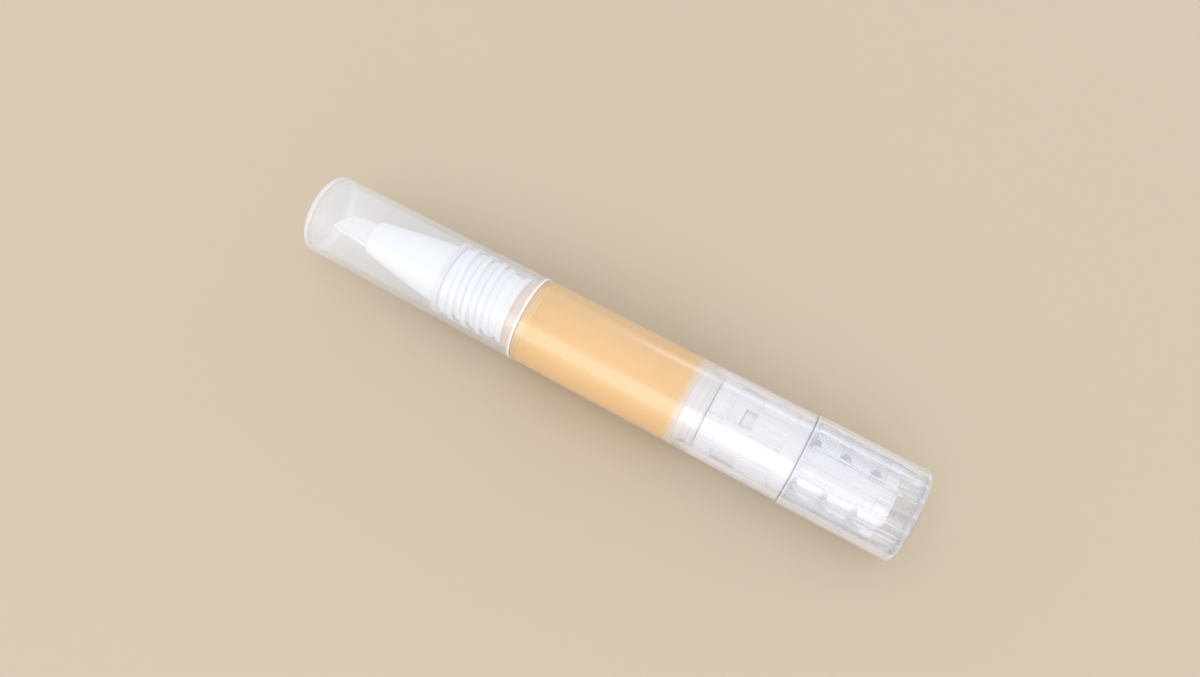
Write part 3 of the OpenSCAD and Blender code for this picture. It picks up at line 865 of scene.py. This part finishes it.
class PEN_OT_knob(PenOperator, bpy.types.Operator):
    """Makes the clear turning knob, one shell with ribs along its inside"""

    bl_idname = "pen.make_knob"
    bl_label = "Knob"

    def make(self, scene):
        knob, colours = scene.pen_knob, scene.pen_colours
        look = knob_plastic("clear_knob", colours.knob, knob)
        inner = knob.radius - knob.wall
        stop = knob.long - knob.rib_back
        stop_ring = stop - 0.0002
        # A shallow moulding mark in the middle of the closed end
        mark, mark_rim, mark_depth = 0.0011, 0.0013, 0.00005
        corners = [
            (mark_depth, 0.0),
            (mark_depth, mark, 0.00004),
            (0.0, mark_rim, 0.00004),
            (0.0, knob.radius, knob.edge),
            (knob.edge + 0.0005, knob.radius),
            (knob.long - knob.lip - 0.0002, knob.radius),
            (knob.long, knob.radius, knob.lip),
            (knob.long, inner, 0.00012),
            (stop, inner),
            (stop_ring, inner),
            (knob.end, inner),
            (knob.end, inner - knob.rib_height - 0.0003),
            (knob.end, 0.0),
        ]
        pitch = math.tau / knob.ribs
        half = knob.rib_width / 2 / inner
        flank = RIB_FLANK / inner
        room = pitch / 2 - half - flank
        steps = [-half - flank, -half, -half * 0.6, 0.0, half * 0.6, half]
        steps += [half + flank + room * k / 3 for k in range(6)]
        turns = [knob.first_rib + pitch * k + step for k in range(knob.ribs) for step in steps]
        base = plain_mesh("knob_base", turned(rounded(corners), turns))
        close = 1e-6

        def ribbed(along, radius):
            inside = abs(radius - inner) < close and knob.end - close < along < stop - 0.0001
            return 1.0 if inside else 0.0

        # Painted highlights: the lip of the mouth, the ribs' inner faces and a band round the closed end's
        # edge
        def knob_painted_highlight(along, radius):
            mouth = 1.0 - (knob.long - along) / 0.0003
            ribs = 0.9 if radius < inner - 0.00005 and knob.end < along < stop else 0.0
            end_edge = 0.35 if along < 0.0008 and radius > knob.radius - 0.0011 else 0.0
            return max(0.0, mouth, ribs, end_edge)

        paint(base, "rib_reach", ribbed)
        plain = ribbed_inside(
            "Knob ribs", look, base, Ribs=knob.ribs, Turn=knob.first_rib, Foot=inner,
            Height=knob.rib_height, Width=knob.rib_width,
        )
        piece = as_piece("knob_clear", added(bmesh.new(), plain), look)
        paint(piece.data, "knob_painted_highlight", knob_painted_highlight)
        seat(piece, "knob", "clear_knob", "knob_shell")


class PEN_OT_barrel(PenOperator, bpy.types.Operator):
    """Makes the milky barrel with its stepped neck"""

    bl_idname = "pen.make_barrel"
    bl_label = "Barrel"

    def make(self, scene):
        barrel, colours = scene.pen_barrel, scene.pen_colours
        shoulder = barrel.start + barrel.long
        floor = shoulder - barrel.floor
        band = floor - 0.0003
        # Rings of points on both sides of where the haze round the housing ends
        haze_rings, haze_stop = (0.0325, 0.0365), 0.034
        neck_stop = span("barrel_tube")[1]

        def outer(along):
            part = (along - barrel.start) / barrel.long
            return barrel.radius + (barrel.shoulder - barrel.radius) * part

        corners = [
            (barrel.start, barrel.bore, 0.00008),
            (barrel.start, barrel.radius, barrel.bevel),
            *[(ring, outer(ring)) for ring in haze_rings],
            (band - 0.00004, outer(band)),
            (band, outer(band)),
            (shoulder, barrel.shoulder, barrel.bevel),
            (shoulder, barrel.neck, 0.0001),
            (neck_stop, barrel.neck, barrel.bevel),
            (neck_stop, barrel.neck_bore, 0.00005),
            (floor, barrel.neck_bore, 0.00005),
            (floor, barrel.bore, 0.00005),
        ]
        mesh = turned(rounded(corners))
        piece = as_piece("barrel_milky", mesh, barrel_plastic("milky_barrel", colours))
        inside = barrel.neck_bore + 0.0001
        outside = barrel.bore + 0.0003

        def lit_by_oil(along, radius):
            if radius < inside:
                return 1.0
            in_band = band <= along + TINY < shoulder - barrel.bevel * 1.1
            return 0.45 if in_band and radius > barrel.bore + 0.0001 else 0.0

        def hazy(along, radius):
            return 1.0 if along < haze_stop and radius > outside else 0.0

        paint(piece.data, "glow", lit_by_oil)
        paint(piece.data, "rear", hazy)
        seat(piece, "barrel", "milky_barrel", "barrel_tube")


class PEN_OT_oil(PenOperator, bpy.types.Operator):
    """Makes the oil column in the barrel"""

    bl_idname = "pen.make_oil"
    bl_label = "Oil"

    def make(self, scene):
        barrel, drive = scene.pen_barrel, scene.pen_drive
        start, stop, _ = span("oil_charge")
        radius = barrel.bore + 0.00002
        reach = 0.00007
        start, stop = start - reach, stop + reach
        # Rings of points for the colour that fades out against the piston
        fade_rings = (0.0015, 0.003, 0.006)
        corners = [
            (start - drive.cup, 0.0),
            (start - drive.cup, radius - drive.lip - 0.0001),
            (start, radius - drive.lip / 2),
            (start, radius, 0.00006),
            *[(start + ring, radius) for ring in fade_rings],
            (stop, radius, 0.00003),
            (stop, 0.0),
        ]
        mesh = turned(rounded(corners))
        piece = as_piece("oil_fill", mesh, oil_finish("pale_orange_oil", scene.pen_colours))
        paint(piece.data, "from_piston", lambda along, radius: max(0.0, along - start))
        seat(piece, "barrel", "oil", "oil_charge")
        left = 1.0 - travel("piston_slide") / (stop - start)
        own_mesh(piece)


class PEN_OT_nozzle(PenOperator, bpy.types.Operator):
    """Makes the white nozzle: plug, flange, threaded collar and cone in one moulding"""

    bl_idname = "pen.make_nozzle"
    bl_label = "Nozzle"

    def make(self, scene):
        nozzle, thread, colours = scene.pen_nozzle, scene.pen_thread, scene.pen_colours
        look = opaque_plastic("white_nozzle", colours.nozzle, 0.42, 0.97)
        plug_stop = nozzle.start + nozzle.plug_long
        collar_start = plug_stop + nozzle.flange_long
        cone_start = nozzle.stop - nozzle.cone_long
        wide = nozzle.collar + nozzle.bead
        steps = 14
        cone = []
        for k in range(1, steps):
            part = k / steps
            radius = nozzle.collar - (nozzle.collar - nozzle.mouth) * part**1.3
            cone.append((cone_start + part * nozzle.cone_long, radius))
        soft = 0.0002
        corners = [
            (nozzle.start, nozzle.passage, 0.0001),
            (nozzle.start, nozzle.plug, soft),
            (plug_stop, nozzle.plug),
            (plug_stop, wide, 0.0001),
            (collar_start, wide, soft),
            (collar_start + nozzle.bead, nozzle.collar, soft),
            (cone_start - nozzle.bead_long - nozzle.bead, nozzle.collar, soft),
            (cone_start - nozzle.bead_long, wide, soft),
            (cone_start, wide, soft),
            (cone_start, nozzle.collar),
            *cone,
            (nozzle.stop, nozzle.mouth, 0.00008),
            (nozzle.stop, nozzle.brush_bore, 0.00008),
            (nozzle.stop - nozzle.brush_bore_long, nozzle.brush_bore),
            (nozzle.stop - nozzle.brush_bore_long, nozzle.passage),
        ]
        ridge = thread_ridge(
            "Nozzle thread", look, Steps=300, Turns=thread.turns, Turn=math.radians(90.0),
            Pitch=thread.pitch, Start=thread.start, Foot=nozzle.collar,
            Height=thread.height, Sink=0.00006, Width=thread.width,
        )
        piece = as_piece("nozzle_white", added(turned(rounded(corners, 4)), ridge), look, sharp=40.0)
        seat(piece, "barrel", "white_nozzle", "nozzle")


class PEN_OT_brush(PenOperator, bpy.types.Operator):
    """Makes the slanted nylon brush on its fused slice"""

    bl_idname = "pen.make_brush"
    bl_label = "Brush"

    def make(self, scene):
        brush = scene.pen_brush
        look = nylon_finish("white_nylon", scene.pen_colours.nylon)
        slope = math.tan(brush.slope)
        bundle = brush.radius * (1 - (brush.tip - brush.root) / brush.meet)
        middle = brush.tip - slope * bundle - brush.root - brush.uneven
        tuft = strand_tuft(
            "Strand tuft", look, Strands=brush.strands, Radius=brush.radius - brush.strand,
            Hole=brush.hole, Strand=brush.strand, Root=brush.root, Meet=brush.meet, Cut=middle,
            Slope=brush.slope, Side=brush.side, Uneven=brush.uneven,
        )
        corners = [
            (brush.root - brush.slice, brush.hole),
            (brush.root - brush.slice, brush.radius, 0.0001),
            (brush.root, brush.radius, 0.0001),
            (brush.root, brush.hole),
        ]
        fused = turned(rounded(corners), even_turns(48))
        piece = as_piece("brush_strands", added(fused, tuft), look)
        seat(piece, "barrel", "nylon", "bristles")


class PEN_OT_drive(PenOperator, bpy.types.Operator):
    """Makes the coarse-threaded rod with its flats, and the piston it pushes"""

    bl_idname = "pen.make_drive"
    bl_label = "Rod and piston"

    def make(self, scene):
        drive, colours = scene.pen_drive, scene.pen_colours
        rod_look = opaque_plastic("white_rod", colours.parts, 0.4, 0.97, lamps_through=0.85)
        steps = 190
        run = drive.rod_stop - drive.rod_start
        outline = [(drive.rod_start, 0.0), (drive.rod_start, drive.rod * 0.5)]
        outline += [(drive.rod_start + run * k / steps, drive.rod) for k in range(steps + 1)]
        outline += [(drive.rod_stop, drive.rod * 0.5), (drive.rod_stop, 0.0)]
        base = plain_mesh("rod_base", turned(outline, even_turns(60)))
        paint(base, "thread_reach", lambda along, radius: 1.0 if radius > drive.rod * 0.9 else 0.0)
        plain = threaded_rod(
            "Rod thread", rod_look, base, Lead=drive.lead,
            Radius=drive.rod, Core=drive.core, Flats=drive.flats,
        )
        rod = as_piece("rod_threaded", added(bmesh.new(), plain), rod_look)
        seat(rod, "piston", "white_plastic", "screw_rod")

        start, stop, wide = drive.piston_start, drive.piston_stop, drive.piston
        waist = wide - drive.waist
        cup = wide - drive.lip
        gap = 0.00005
        socket = drive.rod + gap
        socket_stop = drive.rod_stop + gap
        fine, soft = 0.0001, 0.00015
        corners = [
            (stop - drive.cup, 0.0),
            (stop - drive.cup, cup, soft),
            (stop, wide - drive.lip / 2, fine),
            (stop, wide, 0.00012),
            (stop - drive.lip, wide, fine),
            (stop - drive.lip - drive.waist, waist, soft),
            (start + drive.lip + drive.waist, waist, soft),
            (start + drive.lip, wide, fine),
            (start + drive.lip / 2, wide, fine),
            (start, wide - drive.lip / 2, fine),
            (start, socket, 0.00008),
            (socket_stop, socket),
            (socket_stop, 0.0),
        ]
        mesh = turned(rounded(corners, 4))
        piston = as_piece("piston_soft", mesh, opaque_plastic("soft_piston", colours.soft, 0.5, 0.97))
        seat(piston, "piston", "soft_plastic", "piston")


class PEN_OT_inner_parts(PenOperator, bpy.types.Operator):
    """Gives the CAD parts that stay in sight their finishes"""

    bl_idname = "pen.finish_inner_parts"
    bl_label = "Inner parts"

    def make(self, scene):
        colours = scene.pen_colours
        white = opaque_plastic("white_sleeve", colours.parts, 0.38, 0.98, lamps_through=0.9)
        housing = opaque_plastic("white_housing", colours.parts, 0.42, 0.98, lamps_through=0.9)
        soft = veiled_plastic("soft_ring", colours.soft, veil=0.5, edge_veil=0.8, roughness=0.4)
        tube = opaque_plastic("feed_tube_white", colours.soft, 0.45)
        finishes = {
            "drive_sleeve": white,
            "click_ring": white,
            "ratchet_housing": housing,
            "brush_ferrule": white,
            "feed_tube": tube,
            "cap_liner": soft,
        }
        for node, finish in finishes.items():
            data = frame["nodes"][node].data
            data.materials.clear()
            data.materials.append(finish)


class PEN_OT_stage(PenOperator, bpy.types.Operator):
    """Makes the pale table, the soft studio light and the camera at the photograph's angle"""

    bl_idname = "pen.make_stage"
    bl_label = "Stage"

    def make(self, scene):
        colours = scene.pen_colours
        table = bmesh.new()
        sides, far, near = 96, 3.0, 0.3
        rim, middle = (
            [table.verts.new((reach * math.cos(a), reach * math.sin(a), 0.0)) for a in even_turns(sides)]
            for reach in (far, near)
        )
        table.faces.new(middle)
        for k in range(sides):
            m = (k + 1) % sides
            table.faces.new([rim[k], rim[m], middle[m], middle[k]])
        floor = as_piece("table_top", table, table_finish("pale_table", colours.floor))
        pale_world(scene, colours.room)
        soft_light("front_window", (0.0, -1.0, 0.8), (2.4, 0.95), 7.4, (1.0, 0.985, 0.965))
        soft_light("back_window", (0.5, 1.4, 0.525), (1.55, 0.4), 3.1, (0.97, 0.98, 1.0))
        soft_light("overhead", (-0.125, 0.4, 1.5), (1.5, 1.25), 2.8, (1.0, 1.0, 1.0), glossy=False)
        scene.camera = photo_camera(scene)
        scene.view_settings.view_transform = "Standard"
        scene.cycles.transparent_max_bounces = 32


def standing(place, right, up, back):
    """The matrix of a lamp or camera at this place, with these sides."""
    return Matrix.Translation(place) @ Matrix((right, up, back)).transposed().to_4x4()


def soft_light(name, place, size, power, tint, glossy=True):
    """A soft rectangular lamp that looks at the pen, its long side along X, in reflections or not."""
    lamp = bpy.data.lights.new(name, "AREA")
    lamp.shape = "RECTANGLE"
    lamp.size, lamp.size_y = size
    lamp.energy = power
    lamp.color = tint
    holder = bpy.data.objects.new(name, lamp)
    holder.visible_glossy = glossy
    back = Vector(place).normalized()
    up = back.cross(Vector((1.0, 0.0, 0.0))).normalized()
    holder.matrix_world = standing(place, up.cross(back).normalized(), up, back)
    bpy.context.scene.collection.objects.link(holder)


def pale_world(scene, tint):
    """Even, slightly cool light from all round, with the table's colour behind the pen."""
    world = bpy.data.worlds.new("soft_room")
    world.use_nodes = True
    graph = Graph(world.node_tree)
    room = graph.node("ShaderNodeBackground", {}, {"Color": (0.96, 0.98, 1.0, 1.0), "Strength": 0.88})
    behind = graph.node("ShaderNodeBackground", {}, {"Color": for_socket(tint), "Strength": 1.0})
    path = graph.node("ShaderNodeLightPath", output="Is Camera Ray")
    seen = path
    for ray in ("Is Glossy Ray", "Is Transmission Ray"):
        seen = seen.math("MAXIMUM", Value(graph, path.socket.node.outputs[ray]))
    mixed = graph.node("ShaderNodeMixShader", {}, {0: seen, 1: room, 2: behind})
    graph.node("ShaderNodeOutputWorld", {}, {"Surface": mixed})
    scene.world = world


def photo_camera(scene):
    """The camera where the photograph was taken from."""
    lens = bpy.data.cameras.new("photo_camera")
    lens.sensor_width = 36.0
    lens.lens = 32.579
    lens.clip_start = 0.005
    camera = bpy.data.objects.new("photo_camera", lens)
    place = (0.0260689, -0.0480059, 0.162875)
    right = Vector((0.87429, 0.48541, 0.0)).normalized()
    back = Vector((0.16854, -0.30357, 0.93778)).normalized()
    camera.matrix_world = standing(place, right, back.cross(right).normalized(), back)
    scene.collection.objects.link(camera)
    return camera


OPERATORS = (
    PEN_OT_stage,
    PEN_OT_cap,
    PEN_OT_knob,
    PEN_OT_barrel,
    PEN_OT_oil,
    PEN_OT_nozzle,
    PEN_OT_brush,
    PEN_OT_drive,
    PEN_OT_inner_parts,
)


class PEN_PT_panel(bpy.types.Panel):
    """Lists the pen's pieces and their sizes"""

    bl_idname = "PEN_PT_panel"
    bl_label = "Nail oil pen"
    bl_space_type = "VIEW_3D"
    bl_region_type = "UI"
    bl_category = "Oil pen"

    def draw(self, context):
        for operator in OPERATORS:
            self.layout.operator(operator.bl_idname)
        for name, group in SIZE_GROUPS.items():
            box = self.layout.box()
            sizes = getattr(context.scene, name)
            for size in group.__annotations__:
                box.prop(sizes, size)


def register():
    for group in SIZE_GROUPS.values():
        bpy.utils.register_class(group)
    for name, group in SIZE_GROUPS.items():
        setattr(bpy.types.Scene, name, bpy.props.PointerProperty(type=group))
    for made in (*OPERATORS, PEN_PT_panel):
        bpy.utils.register_class(made)


def unregister():
    for made in (PEN_PT_panel, *reversed(OPERATORS)):
        bpy.utils.unregister_class(made)
    for name in SIZE_GROUPS:
        delattr(bpy.types.Scene, name)
    for group in SIZE_GROUPS.values():
        bpy.utils.unregister_class(group)


def main():
    register()
    bpy.ops.pen.make_stage()
    bpy.ops.pen.make_cap()
    bpy.ops.pen.make_knob()
    bpy.ops.pen.make_barrel()
    bpy.ops.pen.make_oil()
    bpy.ops.pen.make_nozzle()
    bpy.ops.pen.make_brush()
    bpy.ops.pen.make_drive()
    bpy.ops.pen.finish_inner_parts()


if __name__ == "__main__":
    main()
